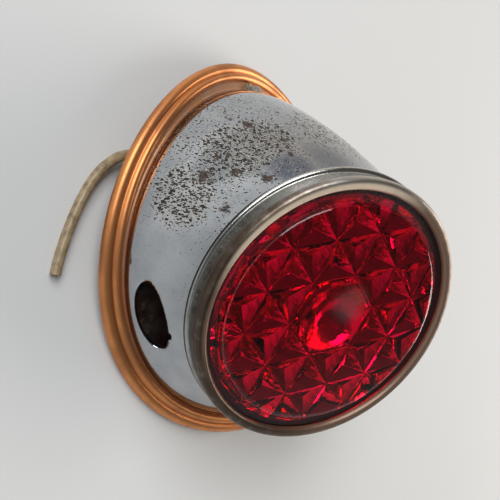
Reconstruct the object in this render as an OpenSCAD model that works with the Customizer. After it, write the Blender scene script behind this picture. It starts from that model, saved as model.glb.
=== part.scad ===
// Motorcycle tail light for a curved mudguard: a plated body on a copper-plated base ring, with a
// push-on bezel that holds a moulded red lens, a sprung bayonet bulb holder and one feed wire.
// Millimetres. The base ring stands on z = 0, +Z leaves the mudguard, +X runs to the short side.

/* [Base] */
// Outer radius of the base ring
base_r = 62; // [60:0.5:66]
// Radius of the mudguard that the base fits
seat_r = 205; // [170:5:400]
// Thickness of the flat base plate under the body
plate_sheet = 1; // [0.8:0.1:1.4]
// Gap between the mudguard and the base plate
plate_lift = 0.3; // [0.1:0.1:0.6]

/* [Body] */
// Inset of the body's wall from the edge of the base ring
foot_inset = 7.6; // [7.4:0.1:10]
// Shift of the wall's foot on the base ring towards the short side
foot_shift = 1.6; // [0:0.1:1.6]
// Wall thickness of the body
wall = 0.9; // [0.7:0.1:1.2]
// Thickness of the body's turned-out foot
foot_sheet = 0.8; // [0.6:0.1:1.1]
// How far the wall rises straight from the foot, as a share of its run
foot_rise = 0.2; // [0.1:0.01:0.35]
// How far the wall runs straight into the lip, as a share of its run
lip_run = 0.28; // [0.15:0.01:0.35]
// Spread of the wall below the lip, as a slope
lip_spread = 0.27; // [0.1:0.01:0.35]

/* [Number plate window] */
// Direction of the window round the body, from +X
window_angle = -25; // [-60:1:60]
// Height of the window's middle
window_z = 13.7; // [13:0.1:15]
// Length of the window round the body
window_w = 21; // [14:0.5:24]
// Height of the window
window_h = 9.2; // [6:0.2:10]
// Lean of the window along the foot
window_lean = -2.5; // [-12:0.5:12]
// Radius of the small notch in the window's upper edge
window_notch = 1.2; // [0.8:0.1:2]

/* [Lens head] */
// Tilt of the lens towards the short side
head_tilt = 32.5; // [25:0.5:36]
// Distance of the lens centre from the base's centre line
head_x = 25; // [18:0.5:27]
// Height of the lens centre
head_z = 52.2; // [50:0.2:62]
// Outer radius of the body's collar, which carries the bezel
collar_r = 38.8; // [36:0.2:40]
// Running gap between the collar and the bezel
collar_gap = 0.3; // [0.3:0.05:0.5]
// Thickness of the bezel's sheet
bezel_sheet = 0.8; // [0.6:0.1:1]

/* [Lens] */
// Thickness of the lens's flat rim
lens_rim = 1.85; // [1.5:0.05:2.5]
// Width of the plain border inside the bezel's mouth
lens_border = 4; // [2:0.5:7]
// Side of the triangular prisms
prism_side = 13.3; // [8:0.1:18]
// Slope of the prisms' faces
prism_slope = 0.72; // [0.4:0.02:0.85]
// Radius of the bull's eye in the middle
eye_r = 10.8; // [8:0.2:13]
// Depth of the bull's eye
eye_depth = 3.2; // [2:0.1:4]

/* [Fixing screws] */
// Radius of the screws' shanks
screw_r = 2.5; // [2:0.1:2.6]
// Distance of the screws inside the circle of the wall's foot
screw_inset = 4; // [3.6:0.1:5]
// Direction of the screws, each side of -X
screw_spread = 49; // [30:1:60]
// Free length of the shanks under the base plate
screw_tail = 4.6; // [3:0.1:4.8]

/* [Bulb holder] */
// Distance of the bulb from the middle
holder_x = 8; // [0:0.5:12]
// Radius of the bulb's cap
cap_r = 7.6; // [7.5:0.05:7.65]
// Running gap between the bulb's cap and the holder
cap_gap = 0.08; // [0.05:0.01:0.1]
// Thickness of the holder's sheet
holder_sheet = 0.5; // [0.4:0.1:0.8]
// Height of the top of the holder's cup
cup_top = 14; // [13.5:0.1:16]
// Free height of the contact spring
spring_h = 4.5; // [4.2:0.1:6]
// Travel of the bulb when it is pushed home
push_travel = 2; // [1:0.1:2.4]
// Radius of the bulb's glass
glass_r = 9; // [7.8:0.1:10]

/* [Wire] */
// Outer radius of the wire
wire_r = 1.5; // [1.2:0.1:1.6]
// Radius of the wire's copper core
core_r = 0.75; // [0.5:0.05:0.9]

/* [Hidden] */
$fn = 96;

eps = 0.01;
far = 200;
around = 96;

// Seat: the mudguard is a cylinder along Y whose crown is arch above the ring's two low ends
arch = seat_r - sqrt(seat_r * seat_r - base_r * base_r);
seat_low = arch - seat_r;
function seat(x, h) = seat_low + sqrt((seat_r + h) * (seat_r + h) - x * x);
function seat_angle(x) = asin(x / seat_r);

// Heights over the seat of the stacked sheets
plate_top = plate_lift + plate_sheet;
foot_top = plate_top + foot_sheet;
foot_r = base_r - foot_inset;
foot_rim_r = base_r - 4.4;

// Head: the frame of the lens, its z axis along the lens's normal
head_n = [sin(head_tilt), 0, cos(head_tilt)];
head_u = [cos(head_tilt), 0, -sin(head_tilt)];
head_v = [0, 1, 0];
head_c = [head_x, 0, head_z];
function head_point(a, r, z) = head_c + head_u * r * cos(a) + head_v * r * sin(a) + head_n * z;
collar_low = -9;
collar_top = -3.9;

// Body wall: each line from foot to lip is a cubic curve
body_rings = 9;
collar_stock = 0.1;
sheet_play = 0.02;
function foot_point(a, inset) =
    let (r = foot_r - inset, x = foot_shift + r * cos(a))
    [x, r * sin(a), seat(x, inset > 0 ? plate_top + sheet_play : foot_top)];
function lip_point(a, inset) =
    head_point(a, collar_r + (inset > 0 ? -inset - collar_stock : collar_stock), collar_low);
function lip_line(a) = head_n - lip_spread * (head_u * cos(a) + head_v * sin(a));
function cubic(p, q, r, s, t) =
    pow(1 - t, 3) * p + 3 * pow(1 - t, 2) * t * q + 3 * (1 - t) * t * t * r + pow(t, 3) * s;
function wall_line(f, l, a, t) =
    cubic(f, f + [0, 0, foot_rise * norm(l - f)], l - lip_run * norm(l - f) * lip_line(a), l, t);
function wall_point(a, t, inset) = wall_line(foot_point(a, inset), lip_point(a, inset), a, t);
function rim_point(a, h) =
    let (x = foot_rim_r * cos(a)) [x, foot_rim_r * sin(a), seat(x, h)];

// One section of the body: foot, outside of the wall, collar, inside of the wall
function body_section(a) = concat(
    [rim_point(a, plate_top + sheet_play), rim_point(a, foot_top)],
    [for (i = [0:body_rings]) wall_point(a, i / body_rings, 0)],
    [head_point(a, collar_r + collar_stock, collar_top),
        head_point(a, collar_r - wall - collar_stock, collar_top)],
    [for (i = [0:body_rings]) wall_point(a, 1 - i / body_rings, wall)]);

// Lens head stack, measured along the head's z axis
mouth_r = collar_r - 2;
lens_r = collar_r - 0.2;
bezel_in = collar_r + collar_gap;
lens_front = -0.75;
lens_back = lens_front - lens_rim;
lens_raise = 1;
lens_crown = 0.95;
prism_web = 0.3;
prism_line = prism_side * sqrt(3) / 2;
prism_field = mouth_r - lens_border - 0.2;
ring_wire = 0.45;
gasket_sheet = 0.8;
gasket_in = mouth_r - 0.6;

// Window notch and the body's locating pip
notch_shift = 6;
notch_rise = 3.6;
pip_r = 0.7;
pip_angle = -28;

// Fixing screws
head_r = screw_r + 1.5;
head_h = 2.4;
slot_w = 1.2;
slot_h = 1.2;
washer_r = screw_r + 2.7;
washer_sheet = 0.8;
pocket_r = washer_r + 0.6;
pocket_h = 6.5;
shank_gap = 0.15;
thread_rise = 0.25;
washer_seat = foot_top + 0.1;
function screw_at(side) =
    (foot_r - screw_inset) * [-cos(screw_spread), side * sin(screw_spread)];

// Holder stack
shell_in = cap_r + cap_gap;
shell_r = shell_in + holder_sheet;
shell_flange = 2.4;
cup_sheet = 1;
cup_r = shell_r + shell_flange + 2;
cup_rim = 5;
rivet_at = cup_r + 2.6;
rivet_r = 1.2;
fibre = 1;
tag_sheet = 0.5;
tag_w = 4;
tag_out = 16;
tag_hole = 1;
tag_slot = tag_w + 1.4;
tag_gap = 0.35;
spring_low = cup_top + fibre + tag_sheet;
carrier_h = 2;
spring_gap = 0.02;
stud_r = 2.2;
stud_head = 1;
carrier_low = spring_low + spring_h;
carrier_top = carrier_low + carrier_h;
bulb_low = carrier_top + stud_head;
spring_wire = 0.35;
spring_r = 4.4;
spring_turns = 4;
spring_steps = 12;
spring_sides = 6;

// Bulb, measured from its contact
blob_h = 0.7;
vitrite_h = 1.6;
cap_low = blob_h + vitrite_h;
cap_high = 12.5;
cap_sheet = 0.4;
pin_r = 1;
pin_out = 1.1;
pin_z = 7;
pin_play = 0.08;
slot_turn = 28;
shell_top = bulb_low + pin_z + 4.4;
glass_neck_r = cap_r - cap_sheet - 0.15;
glass_neck = cap_high + 1.8;
glass_mid = glass_neck + sqrt(glass_r * glass_r - glass_neck_r * glass_neck_r);
glass_sheet = 0.6;
stem_r = 2.6;
stem_h = cap_high + 4;
support_r = 0.35;
filament_z = glass_mid + 0.5;
filament_r = 0.4;

// Wire route, chosen by hand from the grommet out to the cut end
hole_x = 4;
hole_y = -38;
grommet_neck = 1.6;
grommet_lip = 1.5;
grommet_w = 1.4;
tail_route = [[4, -38, 10], [4, -38, 6.8], [6, -42, 4.6], [11, -49, 4.2], [17.5, -55.8, 3.6],
    [24, -57.8, 3], [30, -57.6, 2.4], [36, -56.2, 2], [42, -54.1, 1.7], [48, -51.6, 1.6],
    [53, -49.2, 1.6], [56.4, -47.2, 1.6]];
lead_route = [[4, -38, 10.02], [4, -38, 14], [4.6, -35.5, 18.2], [6.4, -29, 19.4], [8, -23, 17.6],
    [8, -19.5, 16.6]];
core_route = [[8, -19.48, 16.6], [8, -17.5, 16.3], [8, -15.2, 16.2]];
wire_sides = 8;
core_sides = 8;
cut_depth = 1.2;
solder_r = 1.3;

// A closed tube of rings around a path, each ring square to the path
function path_dir(p, i) =
    let (a = p[max(i - 1, 0)], b = p[min(i + 1, len(p) - 1)]) (b - a) / norm(b - a);
function path_side(d) = abs(d[2]) > 0.9 ? cross(d, [0, -1, 0]) : cross(d, [0, 0, 1]);
function path_ring(c, d, r, n) =
    let (s = path_side(d) / norm(path_side(d)), t = cross(d, s))
    [for (k = [0:n - 1]) c + r * cos(360 * k / n) * s + r * sin(360 * k / n) * t];
function halfway(p, i) =
    (-p[max(i - 1, 0)] + 9 * p[i] + 9 * p[i + 1] - p[min(i + 2, len(p) - 1)]) / 16;
function finer(p) = [for (i = [0:2 * len(p) - 2]) i % 2 == 0 ? p[i / 2] : halfway(p, (i - 1) / 2)];
function straight_ends(p, d) =
    concat([p[0], p[0] + d * unit(p[1] - p[0])], [for (i = [1:len(p) - 2]) p[i]],
        [last(p) - d * unit(last(p) - p[len(p) - 2]), last(p)]);
function unit(v) = v / norm(v);
function last(p) = p[len(p) - 1];

// The quads between two rings of n points that start at i and j, as triangles
function band(i, j, n) =
    [for (k = [0:n - 1]) each [[i + k, j + k, i + (k + 1) % n], [i + (k + 1) % n, j + k, j + (k + 1) % n]]];

module tube(path, r, n) {
    m = len(path);
    pts = [for (i = [0:m - 1]) each path_ring(path[i], path_dir(path, i), r, n)];
    sides = [for (i = [0:m - 2]) each band(i * n, (i + 1) * n, n)];
    start = [for (k = [1:n - 2]) [0, k, k + 1]];
    end = [for (k = [1:n - 2]) [(m - 1) * n, (m - 1) * n + k + 1, (m - 1) * n + k]];
    polyhedron(pts, concat(sides, start, end), convexity = 4);
}

// Everything under the seat's surface raised by h
module seat_solid(h) {
    translate([0, 0, seat_low])
        rotate([90, 0, 0])
            cylinder(r = seat_r + h, h = far, center = true, $fn = 360);
}

// A sheet on the seat between heights low and high, inside radius r
module seat_sheet(low, high, r) {
    intersection() {
        difference() {
            seat_solid(high);
            seat_solid(low);
        }
        translate([0, 0, -arch])
            cylinder(r = r, h = 4 * arch);
    }
}

// Children stand on the seat at x, y, square to it
module on_seat(x, y) {
    translate([0, y, seat_low])
        rotate([0, seat_angle(x), 0])
            translate([0, 0, seat_r])
                children();
}

module at_screws() {
    for (side = [-1, 1])
        on_seat(screw_at(side)[0], screw_at(side)[1])
            children();
}

module in_head() {
    translate(head_c)
        rotate([0, head_tilt, 0])
            children();
}

module at_holder() {
    translate([holder_x, 0, 0])
        children();
}

// Section of the pressed ring: radius and height over the seat, outer bead to inner lip and back
ring_section = [[61.4, 0], [61.9, 0.6], [62, 1.4], [61.8, 2.1], [61.3, 2.65], [60.6, 2.95],
    [59.9, 2.95], [59.4, 2.7], [59.15, 2.55], [58.9, 2.8], [58.5, 3.3], [57.9, 3.6], [57.2, 3.5],
    [56.6, 3.05], [56.3, 2.55], [56.2, 2.1], [57, 2.1], [57.3, 2.65], [57.8, 2.85], [58.2, 2.5],
    [58.7, 1.9], [59.2, 1.75], [59.8, 2.1], [60.5, 2.2], [61, 1.8], [61.2, 1.2], [60.7, 0]];
ring_full_r = 62;

function ring_point(a, p) =
    let (r = p[0] + base_r - ring_full_r, x = r * cos(a)) [x, r * sin(a), seat(x, p[1])];

module base_ring() {
    color([0.72, 0.38, 0.18])
        ring_of([for (i = [0:around - 1]) [for (p = ring_section) ring_point(360 * i / around, p)]]);
}

module base_plate() {
    color([0.35, 0.34, 0.33])
        difference() {
            seat_sheet(plate_lift, plate_top, foot_rim_r);
            at_screws()
                cylinder(r = screw_r + shank_gap, h = 4, center = true);
            translate([hole_x, hole_y, 0])
                cylinder(r = wire_r + grommet_neck, h = 4 * arch);
            for (side = [-1, 1])
                on_seat(holder_x, side * rivet_at)
                    cylinder(r = rivet_r, h = 4, center = true);
        }
}

// A closed body of sections that follow each other round the part
module ring_of(sections) {
    n = len(sections[0]);
    m = len(sections);
    faces = [for (i = [0:m - 1]) each band(((i + 1) % m) * n, i * n, n)];
    polyhedron([for (s = sections) each s], faces, convexity = 8);
}

// Brings the collar to its exact round size, inside and outside
module collar_trim() {
    in_head()
        translate([0, 0, collar_low + collar_stock]) {
            difference() {
                cylinder(r = collar_r + 3, h = far);
                translate([0, 0, -1])
                    cylinder(r = collar_r, h = far + 2);
            }
            cylinder(r = collar_r - wall, h = far);
        }
}

module window_cut() {
    rotate([0, 0, window_angle])
        translate([0, 0, window_z])
            rotate([window_lean, 0, 0])
                rotate([0, 90, 0]) {
                    linear_extrude(foot_r + 10)
                        polygon([for (a = [0:7.5:359]) [window_h / 2 * cos(a), window_w / 2 * sin(a)]]);
                    translate([-notch_rise, notch_shift, 0])
                        cylinder(r = window_notch, h = foot_r + 10);
                }
}

module body_shell() {
    color([0.78, 0.79, 0.8])
        difference() {
            union() {
                ring_of([for (i = [0:around - 1]) body_section(360 * i / around)]);
                translate(head_point(pip_angle, collar_r + pip_r / 3, collar_low - pip_r / 2))
                    sphere(r = pip_r, $fn = 24);
            }
            collar_trim();
            window_cut();
            at_screws() {
                translate([0, 0, washer_seat])
                    cylinder(r = pocket_r, h = pocket_h);
                cylinder(r = screw_r + shank_gap, h = 2 * foot_top + 1, center = true);
            }
        }
}

module fixing_screws() {
    color([0.62, 0.58, 0.54])
        at_screws() {
            difference() {
                translate([0, 0, washer_seat + washer_sheet])
                    cylinder(r = head_r, h = head_h);
                translate([-head_r - 1, -slot_w / 2, washer_seat + washer_sheet + head_h - slot_h])
                    cube([2 * head_r + 2, slot_w, slot_h + 1]);
            }
            translate([0, 0, plate_lift - screw_tail])
                cylinder(r = screw_r, h = screw_tail);
            translate([0, 0, plate_lift - 1])
                cylinder(r = screw_r - thread_rise, h = washer_seat + washer_sheet - plate_lift + 1.5);
        }
}

module fixing_washers() {
    color([0.55, 0.48, 0.27])
        at_screws()
            translate([0, 0, washer_seat])
                difference() {
                    cylinder(r = washer_r, h = washer_sheet);
                    translate([0, 0, -1])
                        cylinder(r = screw_r + shank_gap, h = washer_sheet + 2);
                }
}

// Section of the bezel: outward step from its inner wall and height along the head
bezel_outer = [[0, -8.45], [1, -8.55], [1.85, -8.15], [2.15, -7.4], [1.8, -6.8], [1.1, -6.45],
    [0.85, -5.6], [0.8, -4.2], [1, -2.9], [1.4, -2.2], [1.65, -1.2], [1.5, -0.2], [1, 0.5],
    [0.2, 0.85], [-0.9, 0.85]];
bezel_inner = [[-0.9, 0.1], [0, 0.1], [0.6, -0.3], [0.8, -1.2], [0.5, -2.2], [0.1, -3]];

module bezel_ring() {
    lip = [[mouth_r + 0.5, 0.5], [mouth_r + 0.05, -0.1], [mouth_r, lens_front + 0.05],
        [mouth_r + 0.6, lens_front + 0.05], [mouth_r + 0.7, -0.1]];
    trim = bezel_sheet - 0.8;
    pts = concat(
        [for (p = bezel_outer) [bezel_in + p[0] + (p[0] > 0 ? trim : 0), p[1]]],
        lip,
        [for (p = bezel_inner) [bezel_in + p[0], p[1]]]);
    color([0.74, 0.72, 0.68])
        in_head()
            rotate_extrude()
                polygon(pts);
}

// One family of ridges, its valleys on lines prism_line apart
module ridges(turn) {
    reach = ceil(prism_field / prism_line) + 1;
    tip = prism_web + prism_slope * prism_line / 2;
    rotate([0, 0, turn])
        rotate([90, 0, 0])
            linear_extrude(far, center = true)
                polygon(concat(
                    [[-reach * prism_line, 0.2]],
                    [for (k = [-2 * reach:2 * reach])
                        [k * prism_line / 2, -(k % 2 == 0 ? prism_web : tip)]],
                    [[reach * prism_line, 0.2]]));
}

module lens() {
    steps = 12;
    raised_r = mouth_r - lens_border;
    crown = [for (i = [0:steps]) let (r = (raised_r - 0.9) * (1 - i / steps))
        [r, lens_front + lens_raise + lens_crown * (1 - pow(r / raised_r, 2))]];
    color([0.65, 0.02, 0.05])
        in_head() {
            rotate_extrude()
                polygon(concat(
                    [[0, lens_back], [lens_r, lens_back], [lens_r, lens_front],
                        [raised_r + 0.2, lens_front], [raised_r - 0.2, lens_front + 0.6 * lens_raise]],
                    crown));
            translate([0, 0, lens_back]) {
                difference() {
                    intersection() {
                        ridges(0);
                        ridges(60);
                        ridges(120);
                        translate([0, 0, -far / 2])
                            cylinder(r = prism_field, h = far);
                    }
                    translate([0, 0, -far / 2])
                        cylinder(r = eye_r, h = far);
                }
                eye_ball();
            }
        }
}

module eye_ball() {
    ball = (eye_r * eye_r + eye_depth * eye_depth) / (2 * eye_depth);
    intersection() {
        translate([0, 0, ball - eye_depth - prism_web])
            sphere(r = ball);
        translate([0, 0, -eye_depth - prism_web - 1])
            cylinder(r = eye_r + 0.1, h = eye_depth + prism_web + 1.2);
    }
}

module lens_gasket() {
    color([0.1, 0.09, 0.09])
        in_head()
            translate([0, 0, lens_back - gasket_sheet])
                difference() {
                    cylinder(r = collar_r - 0.8, h = gasket_sheet);
                    translate([0, 0, -1])
                        cylinder(r = gasket_in, h = gasket_sheet + 2);
                }
}

module retaining_ring() {
    color([0.6, 0.6, 0.6])
        in_head()
            translate([0, 0, lens_back - ring_wire - 0.05])
                rotate([0, 0, 20])
                    rotate_extrude(angle = 335)
                        translate([bezel_in - ring_wire + 0.03, 0])
                            circle(r = ring_wire, $fn = 24);
}

module holder_cup() {
    color([0.45, 0.43, 0.4])
        difference() {
            union() {
                intersection() {
                    seat_sheet(plate_top, plate_top + cup_sheet, foot_r);
                    at_holder()
                        cylinder(r = cup_r + cup_rim, h = 4 * arch);
                }
                difference() {
                    at_holder()
                        cylinder(r = cup_r, h = cup_top);
                    seat_solid(plate_top);
                }
            }
            difference() {
                at_holder()
                    translate([0, 0, -1])
                        cylinder(r = cup_r - cup_sheet, h = cup_top - cup_sheet + 1);
            }
            for (side = [-1, 1])
                on_seat(holder_x, side * rivet_at)
                    cylinder(r = rivet_r, h = 8, center = true);
        }
}

module holder_rivets() {
    color([0.6, 0.57, 0.5])
        for (side = [-1, 1])
            on_seat(holder_x, side * rivet_at) {
                translate([0, 0, plate_lift - 0.3])
                    cylinder(r = rivet_r, h = cup_sheet + plate_sheet + 0.8);
                translate([0, 0, plate_top + cup_sheet])
                    cylinder(r = 2.1 * rivet_r, h = 0.8);
                translate([0, 0, plate_lift - 0.8])
                    cylinder(r = 1.8 * rivet_r, h = 0.8);
            }
}

module slot_leg(from, to, low, high) {
    translate([0, 0, low])
        rotate([0, 0, from])
            rotate_extrude(angle = to - from)
                translate([shell_in - 1, 0])
                    square([holder_sheet + 3, high - low]);
}

module holder_shell() {
    pin_mid = bulb_low + pin_z;
    slot_low = pin_mid - pin_r - push_travel - pin_play;
    half = asin((pin_r + pin_play) / shell_in);
    color([0.66, 0.56, 0.3])
        at_holder()
            difference() {
                union() {
                    translate([0, 0, cup_top])
                        cylinder(r = shell_r, h = shell_top - cup_top);
                    translate([0, 0, cup_top])
                        cylinder(r = shell_r + shell_flange, h = holder_sheet);
                    translate([0, 0, shell_top - 1.2])
                        cylinder(r = shell_r + 0.5, h = 1.2);
                }
                translate([0, 0, cup_top - 1])
                    cylinder(r = shell_in, h = far);
                for (side = [0, 180]) {
                    slot_leg(90 + side - half, 90 + side + slot_turn,
                        slot_low, pin_mid + pin_r + pin_play / 2);
                    slot_leg(90 + side + slot_turn - half, 90 + side + slot_turn + half,
                        slot_low, shell_top + 1);
                }
                translate([-tag_slot / 2, -shell_r - 2, cup_top + fibre - tag_gap])
                    cube([tag_slot, shell_r, tag_sheet + 2 * tag_gap]);
            }
}

module insulating_washer() {
    color([0.38, 0.17, 0.1])
        at_holder()
            translate([0, 0, cup_top])
                cylinder(r = shell_in - 0.1, h = fibre);
}

module terminal_tag() {
    color([0.72, 0.6, 0.32])
        at_holder()
            translate([0, 0, cup_top + fibre])
                difference() {
                    union() {
                        cylinder(r = spring_r + spring_wire + 0.6, h = tag_sheet);
                        translate([-tag_w / 2, -tag_out, 0])
                            cube([tag_w, tag_out, tag_sheet]);
                    }
                    translate([0, -tag_out + 2, -1])
                        cylinder(r = tag_hole, h = 3);
                }
}

module contact_spring() {
    rise = spring_h - 2 * (spring_wire + spring_gap);
    steps = spring_turns * spring_steps;
    path = [for (i = [0:steps])
        [spring_r * cos(360 * i / spring_steps), spring_r * sin(360 * i / spring_steps),
            spring_low + spring_gap + spring_wire + rise * i / steps]];
    color([0.6, 0.6, 0.62])
        at_holder()
            tube(path, spring_wire, spring_sides);
}

module contact_carrier() {
    color([0.38, 0.17, 0.1])
        at_holder()
            difference() {
                translate([0, 0, carrier_low])
                    cylinder(r = shell_in - 0.1, h = carrier_h);
                translate([0, 0, carrier_low - 1])
                    cylinder(r = stud_r - 1, h = carrier_h + 2);
            }
}

module contact_stud() {
    color([0.72, 0.6, 0.32])
        at_holder() {
            translate([0, 0, carrier_top])
                cylinder(r = stud_r, h = stud_head);
            translate([0, 0, carrier_low - 0.6])
                cylinder(r = stud_r - 1, h = carrier_h + 0.6 + eps);
            translate([0, 0, carrier_low - 0.6])
                cylinder(r = stud_r, h = 0.6);
        }
}

module bulb_cap() {
    color([0.7, 0.62, 0.4])
        at_holder()
            translate([0, 0, bulb_low]) {
                difference() {
                    translate([0, 0, cap_low])
                        cylinder(r = cap_r, h = cap_high - cap_low);
                    translate([0, 0, cap_low - 1])
                        cylinder(r = cap_r - cap_sheet, h = cap_high);
                }
                for (side = [-1, 1])
                    translate([0, side * (cap_r - cap_sheet / 2), pin_z])
                        rotate([-side * 90, 0, 0])
                            cylinder(r = pin_r, h = pin_out + cap_sheet / 2);
            }
}

module bulb_insulator() {
    color([0.06, 0.06, 0.08])
        at_holder()
            translate([0, 0, bulb_low])
                rotate_extrude()
                    polygon([[0, blob_h], [cap_r - 2.4, blob_h], [cap_r - 0.9, cap_low - 0.3],
                        [cap_r - cap_sheet, cap_low], [cap_r - cap_sheet, cap_low + 1.2],
                        [0, cap_low + 1.2]]);
}

module bulb_contact() {
    color([0.6, 0.6, 0.58])
        at_holder()
            translate([0, 0, bulb_low])
                cylinder(r1 = 1.8, r2 = 2.4, h = blob_h);
}

module bulb_glass() {
    color([0.9, 0.92, 0.95, 0.3])
        at_holder()
            translate([0, 0, bulb_low])
                difference() {
                    union() {
                        translate([0, 0, cap_high - 4])
                            cylinder(r = glass_neck_r, h = glass_neck - cap_high + 4);
                        translate([0, 0, glass_mid])
                            sphere(r = glass_r);
                    }
                    translate([0, 0, cap_high - 5])
                        cylinder(r = glass_neck_r - glass_sheet, h = glass_neck - cap_high + 5.4);
                    translate([0, 0, glass_mid])
                        sphere(r = glass_r - glass_sheet);
                }
}

module bulb_stem() {
    color([0.85, 0.88, 0.9, 0.5])
        at_holder()
            translate([0, 0, bulb_low]) {
                translate([0, 0, cap_low + 1.2])
                    cylinder(r = stem_r, h = stem_h - cap_low - 1.2);
                for (side = [-1, 1])
                    translate([0, side * (stem_r - 0.8), stem_h - 1])
                        rotate([-side * 8, 0, 0])
                            cylinder(r = support_r, h = filament_z - stem_h + 1);
            }
}

module bulb_filament() {
    lift = filament_z - stem_h + 1;
    reach = stem_r - 0.8 + lift * sin(8);
    color([0.35, 0.33, 0.3])
        at_holder()
            translate([0, 0, bulb_low + stem_h - 1 + lift * cos(8) + filament_r])
                rotate([90, 0, 0])
                    cylinder(r = filament_r, h = 2 * reach + 0.6, center = true, $fn = 24);
}

module wire_grommet() {
    top = seat(hole_x, plate_top);
    low = seat(hole_x, plate_lift);
    color([0.08, 0.08, 0.08])
        translate([hole_x, hole_y, 0])
            difference() {
                union() {
                    translate([0, 0, low - grommet_lip])
                        cylinder(r = wire_r + grommet_neck - 0.05, h = top - low + 2 * grommet_lip);
                    translate([0, 0, low - grommet_lip - 0.1])
                        cylinder(r = wire_r + grommet_neck + grommet_w, h = grommet_lip);
                    translate([0, 0, top + 0.1])
                        cylinder(r = wire_r + grommet_neck + grommet_w, h = grommet_lip);
                }
                cylinder(r = wire_r + 0.03, h = far, center = true);
            }
}

module wire_lead() {
    color([0.6, 0.52, 0.36])
        tube(finer(straight_ends(lead_route, 2 * wire_r)), wire_r, wire_sides);
}

module lead_core() {
    color([0.72, 0.4, 0.22])
        tube(core_route, core_r, core_sides);
}

module solder_joint() {
    color([0.6, 0.6, 0.58])
        translate([holder_x, -tag_out + 2, cup_top + fibre + tag_sheet])
            cylinder(r1 = solder_r + 0.3, r2 = solder_r - 0.5, h = 0.25);
}

module wire_tail() {
    path = finer(straight_ends(tail_route, 2 * wire_r));
    tip = last(path);
    d = unit(tip - path[len(path) - 2]);
    color([0.6, 0.52, 0.36])
        difference() {
            tube(path, wire_r, wire_sides);
            tube([tip - cut_depth * d, tip + d], core_r + 0.05, core_sides);
        }
}

module tail_core() {
    path = finer(straight_ends(tail_route, 2 * wire_r));
    tip = last(path);
    d = unit(tip - path[len(path) - 2]);
    color([0.5, 0.26, 0.14])
        tube([tip - cut_depth * d, tip - 0.2 * d], core_r, core_sides);
}

base_ring();
base_plate();
body_shell();
fixing_screws();
fixing_washers();
bezel_ring();
lens();
lens_gasket();
retaining_ring();
holder_cup();
holder_rivets();
holder_shell();
insulating_washer();
terminal_tag();
contact_spring();
contact_carrier();
contact_stud();
bulb_cap();
bulb_insulator();
bulb_contact();
bulb_glass();
bulb_stem();
bulb_filament();
wire_grommet();
wire_lead();
lead_core();
solder_joint();
wire_tail();
tail_core();
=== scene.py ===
import math

import bmesh
import bpy
from mathutils import Matrix, Vector


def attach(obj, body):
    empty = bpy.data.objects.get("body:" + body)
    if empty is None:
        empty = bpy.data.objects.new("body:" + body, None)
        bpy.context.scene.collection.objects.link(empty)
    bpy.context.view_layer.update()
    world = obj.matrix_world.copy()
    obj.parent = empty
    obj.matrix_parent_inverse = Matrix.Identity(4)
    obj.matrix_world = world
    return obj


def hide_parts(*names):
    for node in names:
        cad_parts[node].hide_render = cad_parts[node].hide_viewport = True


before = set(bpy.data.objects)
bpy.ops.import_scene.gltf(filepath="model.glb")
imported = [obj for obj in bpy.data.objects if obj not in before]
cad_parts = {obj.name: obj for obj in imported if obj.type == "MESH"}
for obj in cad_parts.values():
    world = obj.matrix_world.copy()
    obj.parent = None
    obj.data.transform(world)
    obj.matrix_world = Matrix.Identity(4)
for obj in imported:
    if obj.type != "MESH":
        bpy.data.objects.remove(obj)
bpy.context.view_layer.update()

# Camera
# It stands where the photograph was taken from, above the short side and rolled on its side, so
# that the mudguard side is at the left. Its place comes from the ring's saddle and the bezel's rounds.
mm = 0.001
camera_at = Vector((118.44, -124.38, 149.25)) * mm
camera_right = Vector((-0.4619, 0.4400, 0.7701))
camera_up = Vector((-0.7104, -0.7033, -0.0243))
camera_back = camera_right.cross(camera_up)
photo_width = 500
photo_focus = 648.87

view = bpy.data.cameras.new("camera")
view.sensor_width = 36
view.lens = view.sensor_width * photo_focus / photo_width
view.clip_start = 5 * mm
camera = bpy.data.objects.new("camera", view)
bpy.context.scene.collection.objects.link(camera)
camera.matrix_world = Matrix(
    [[camera_right[i], camera_up[i], camera_back[i], camera_at[i]] for i in range(3)] + [[0, 0, 0, 1]]
)
bpy.context.scene.camera = camera

# Feed wire
# One soft copper lead in a tan sleeve. It comes out of the grommet in the base plate, passes under
# the ring where the mudguard's curve lifts it, and lies on the paper up to its cut end.


class Value:
    """A node's output in a finish, with sums and products written as plain arithmetic."""

    def __init__(self, finish, out):
        self.finish = finish
        self.out = out

    def math(self, kind, *terms):
        return self.finish.node("ShaderNodeMath", dict(enumerate(terms)), operation=kind)

    def __add__(self, other):
        return self.math("ADD", self, other)

    def __radd__(self, other):
        return self.math("ADD", other, self)

    def __sub__(self, other):
        return self.math("SUBTRACT", self, other)

    def __rsub__(self, other):
        return self.math("SUBTRACT", other, self)

    def __mul__(self, other):
        return self.math("MULTIPLY", self, other)

    def __rmul__(self, other):
        return self.math("MULTIPLY", other, self)

    def at_most(self, other):
        return self.math("MINIMUM", self, other)

    def at_least(self, other):
        return self.math("MAXIMUM", self, other)

    def rise(self, low, high, start=0, end=1):
        """From start to end, smoothly, as this value goes from low to high."""
        terms = {0: self, 1: low, 2: high, 3: start, 4: end}
        return self.finish.node("ShaderNodeMapRange", terms, interpolation_type="SMOOTHSTEP")


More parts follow.
